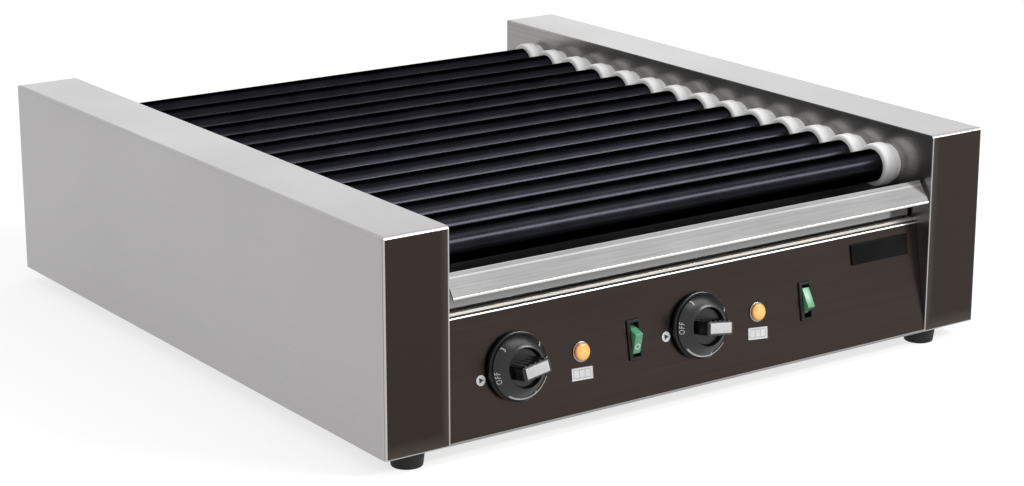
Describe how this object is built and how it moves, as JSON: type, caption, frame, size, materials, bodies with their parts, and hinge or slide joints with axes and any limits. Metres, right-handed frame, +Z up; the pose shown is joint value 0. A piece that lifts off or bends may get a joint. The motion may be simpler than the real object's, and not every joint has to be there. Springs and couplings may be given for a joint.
{
  "type": "roller grill",
  "caption": "Countertop roller grill: heated, chain-driven rollers between two steel side towers, with a pull-out drip tray and a tilted control panel with dials, lamps and switches",
  "frame": {"origin": "centre of the bottom of the bounding box, on the surface the feet stand on", "axes": "+X to the right seen from the front, +Y to the back, +Z up"},
  "size_m": [0.58, 0.641, 0.1783],
  "materials": {
    "satin_steel": "satin stainless steel",
    "dark_steel": "dark polished steel",
    "plate_steel": "satin stainless steel",
    "tray_steel": "satin stainless steel",
    "roller_coating": "satin black non-stick coating",
    "white_bush": "smooth white plastic",
    "foot_rubber": "matte black rubber",
    "screw_steel": "plain steel",
    "knob_black": "satin black phenolic",
    "insert_white": "white plastic",
    "shaft_steel": "turned steel",
    "thermostat_body": "cream plastic",
    "lamp_chrome": "bright plated",
    "lamp_amber": "amber translucent plastic",
    "switch_black": "black plastic",
    "switch_green": "green translucent plastic",
    "plate_black": "glossy black plastic",
    "gland_black": "black plastic",
    "element_sheath": "heat-browned steel sheath",
    "zinc_steel": "zinc plated steel",
    "motor_paint": "grey enamel",
    "sprocket_steel": "machined steel",
    "chain_steel": "oiled steel"
  },
  "bodies": {
    "housing": {"left_outer_cover": "satin_steel", "right_outer_cover": "satin_steel", "front_panel": "dark_steel", "left_side_plate": "plate_steel", "right_side_plate": "plate_steel", "rear_panel": "plate_steel", "base_pan": "plate_steel", "tray_runners": "plate_steel", "roller_bushes": "white_bush", "feet": "foot_rubber", "screws": "screw_steel", "thermostats": "thermostat_body", "pilot_lamp_bezels": "lamp_chrome", "pilot_lamp_lenses": "lamp_amber", "switch_housings": "switch_black", "name_plate": "plate_black", "cable_gland": "gland_black", "heating_elements": "element_sheath", "heater_supports": "zinc_steel", "motor_bracket": "zinc_steel", "gear_motor": "motor_paint", "drive_chain": "chain_steel"},
    "tray": {"drip_tray": "tray_steel"},
    "left_dial": {"left_knob": "knob_black", "left_knob_insert": "insert_white", "left_thermostat_shaft": "shaft_steel"},
    "right_dial": {"right_knob": "knob_black", "right_knob_insert": "insert_white", "right_thermostat_shaft": "shaft_steel"},
    "left_switch": {"left_rocker": "switch_green"},
    "right_switch": {"right_rocker": "switch_green"},
    "drive": {"drive_sprocket": "sprocket_steel"},
    "roller_01": {"roller_tube_01": "roller_coating", "roller_sprocket_01": "sprocket_steel"},
    "roller_02": {"roller_tube_02": "roller_coating", "roller_sprocket_02": "sprocket_steel"},
    "roller_03": {"roller_tube_03": "roller_coating", "roller_sprocket_03": "sprocket_steel"},
    "roller_04": {"roller_tube_04": "roller_coating", "roller_sprocket_04": "sprocket_steel"},
    "roller_05": {"roller_tube_05": "roller_coating", "roller_sprocket_05": "sprocket_steel"},
    "roller_06": {"roller_tube_06": "roller_coating", "roller_sprocket_06": "sprocket_steel"},
    "roller_07": {"roller_tube_07": "roller_coating", "roller_sprocket_07": "sprocket_steel"},
    "roller_08": {"roller_tube_08": "roller_coating", "roller_sprocket_08": "sprocket_steel"},
    "roller_09": {"roller_tube_09": "roller_coating", "roller_sprocket_09": "sprocket_steel"},
    "roller_10": {"roller_tube_10": "roller_coating", "roller_sprocket_10": "sprocket_steel"},
    "roller_11": {"roller_tube_11": "roller_coating", "roller_sprocket_11": "sprocket_steel"},
    "roller_12": {"roller_tube_12": "roller_coating", "roller_sprocket_12": "sprocket_steel"},
    "roller_13": {"roller_tube_13": "roller_coating", "roller_sprocket_13": "sprocket_steel"},
    "roller_14": {"roller_tube_14": "roller_coating", "roller_sprocket_14": "sprocket_steel"}
  },
  "joints": [
    {"name": "tray_slide", "type": "slide", "parent": "housing", "child": "tray", "axis": [0, -1, 0], "range_m": [0, 0.45]},
    {"name": "left_dial_turn", "type": "hinge", "parent": "housing", "child": "left_dial", "pos_m": [-0.1715, -0.29073, 0.05974], "axis": [0, -0.9854, 0.1703], "range_deg": [-300, 0]},
    {"name": "right_dial_turn", "type": "hinge", "parent": "housing", "child": "right_dial", "pos_m": [0, -0.29073, 0.05974], "axis": [0, -0.9854, 0.1703], "range_deg": [-288, 12]},
    {"name": "left_switch_rock", "type": "hinge", "parent": "housing", "child": "left_switch", "pos_m": [-0.0615, -0.28452, 0.05866], "axis": [1, 0, 0], "range_deg": [0, 38]},
    {"name": "right_switch_rock", "type": "hinge", "parent": "housing", "child": "right_switch", "pos_m": [0.11, -0.28452, 0.05866], "axis": [1, 0, 0], "range_deg": [-38, 0]},
    {"name": "drive_spin", "type": "hinge", "parent": "housing", "child": "drive", "pos_m": [0.2501, 0.24834, 0.07508], "axis": [1, 0, 0], "continuous": true},
    {"name": "roller_01_spin", "type": "hinge", "parent": "housing", "child": "roller_01", "pos_m": [0, -0.24696, 0.1462], "axis": [1, 0, 0], "continuous": true, "deforming": ["drive_chain"]},
    {"name": "roller_02_spin", "type": "hinge", "parent": "housing", "child": "roller_02", "pos_m": [0, -0.20886, 0.1462], "axis": [1, 0, 0], "continuous": true},
    {"name": "roller_03_spin", "type": "hinge", "parent": "housing", "child": "roller_03", "pos_m": [0, -0.17076, 0.1462], "axis": [1, 0, 0], "continuous": true},
    {"name": "roller_04_spin", "type": "hinge", "parent": "housing", "child": "roller_04", "pos_m": [0, -0.13266, 0.1462], "axis": [1, 0, 0], "continuous": true},
    {"name": "roller_05_spin", "type": "hinge", "parent": "housing", "child": "roller_05", "pos_m": [0, -0.09456, 0.1462], "axis": [1, 0, 0], "continuous": true},
    {"name": "roller_06_spin", "type": "hinge", "parent": "housing", "child": "roller_06", "pos_m": [0, -0.05646, 0.1462], "axis": [1, 0, 0], "continuous": true},
    {"name": "roller_07_spin", "type": "hinge", "parent": "housing", "child": "roller_07", "pos_m": [0, -0.01836, 0.1462], "axis": [1, 0, 0], "continuous": true},
    {"name": "roller_08_spin", "type": "hinge", "parent": "housing", "child": "roller_08", "pos_m": [0, 0.01974, 0.1462], "axis": [1, 0, 0], "continuous": true},
    {"name": "roller_09_spin", "type": "hinge", "parent": "housing", "child": "roller_09", "pos_m": [0, 0.05784, 0.1462], "axis": [1, 0, 0], "continuous": true},
    {"name": "roller_10_spin", "type": "hinge", "parent": "housing", "child": "roller_10", "pos_m": [0, 0.09594, 0.1462], "axis": [1, 0, 0], "continuous": true},
    {"name": "roller_11_spin", "type": "hinge", "parent": "housing", "child": "roller_11", "pos_m": [0, 0.13404, 0.1462], "axis": [1, 0, 0], "continuous": true},
    {"name": "roller_12_spin", "type": "hinge", "parent": "housing", "child": "roller_12", "pos_m": [0, 0.17214, 0.1462], "axis": [1, 0, 0], "continuous": true},
    {"name": "roller_13_spin", "type": "hinge", "parent": "housing", "child": "roller_13", "pos_m": [0, 0.21024, 0.1462], "axis": [1, 0, 0], "continuous": true},
    {"name": "roller_14_spin", "type": "hinge", "parent": "housing", "child": "roller_14", "pos_m": [0, 0.24834, 0.1462], "axis": [1, 0, 0], "continuous": true}
  ],
  "couplings": [
    {"joint": "roller_02_spin", "follows": "roller_01_spin", "ratio": 1},
    {"joint": "roller_03_spin", "follows": "roller_01_spin", "ratio": 1},
    {"joint": "roller_04_spin", "follows": "roller_01_spin", "ratio": 1},
    {"joint": "roller_05_spin", "follows": "roller_01_spin", "ratio": 1},
    {"joint": "roller_06_spin", "follows": "roller_01_spin", "ratio": 1},
    {"joint": "roller_07_spin", "follows": "roller_01_spin", "ratio": 1},
    {"joint": "roller_08_spin", "follows": "roller_01_spin", "ratio": 1},
    {"joint": "roller_09_spin", "follows": "roller_01_spin", "ratio": 1},
    {"joint": "roller_10_spin", "follows": "roller_01_spin", "ratio": 1},
    {"joint": "roller_11_spin", "follows": "roller_01_spin", "ratio": 1},
    {"joint": "roller_12_spin", "follows": "roller_01_spin", "ratio": 1},
    {"joint": "roller_13_spin", "follows": "roller_01_spin", "ratio": 1},
    {"joint": "roller_14_spin", "follows": "roller_01_spin", "ratio": 1},
    {"joint": "drive_spin", "follows": "roller_01_spin", "ratio": 1}
  ]
}
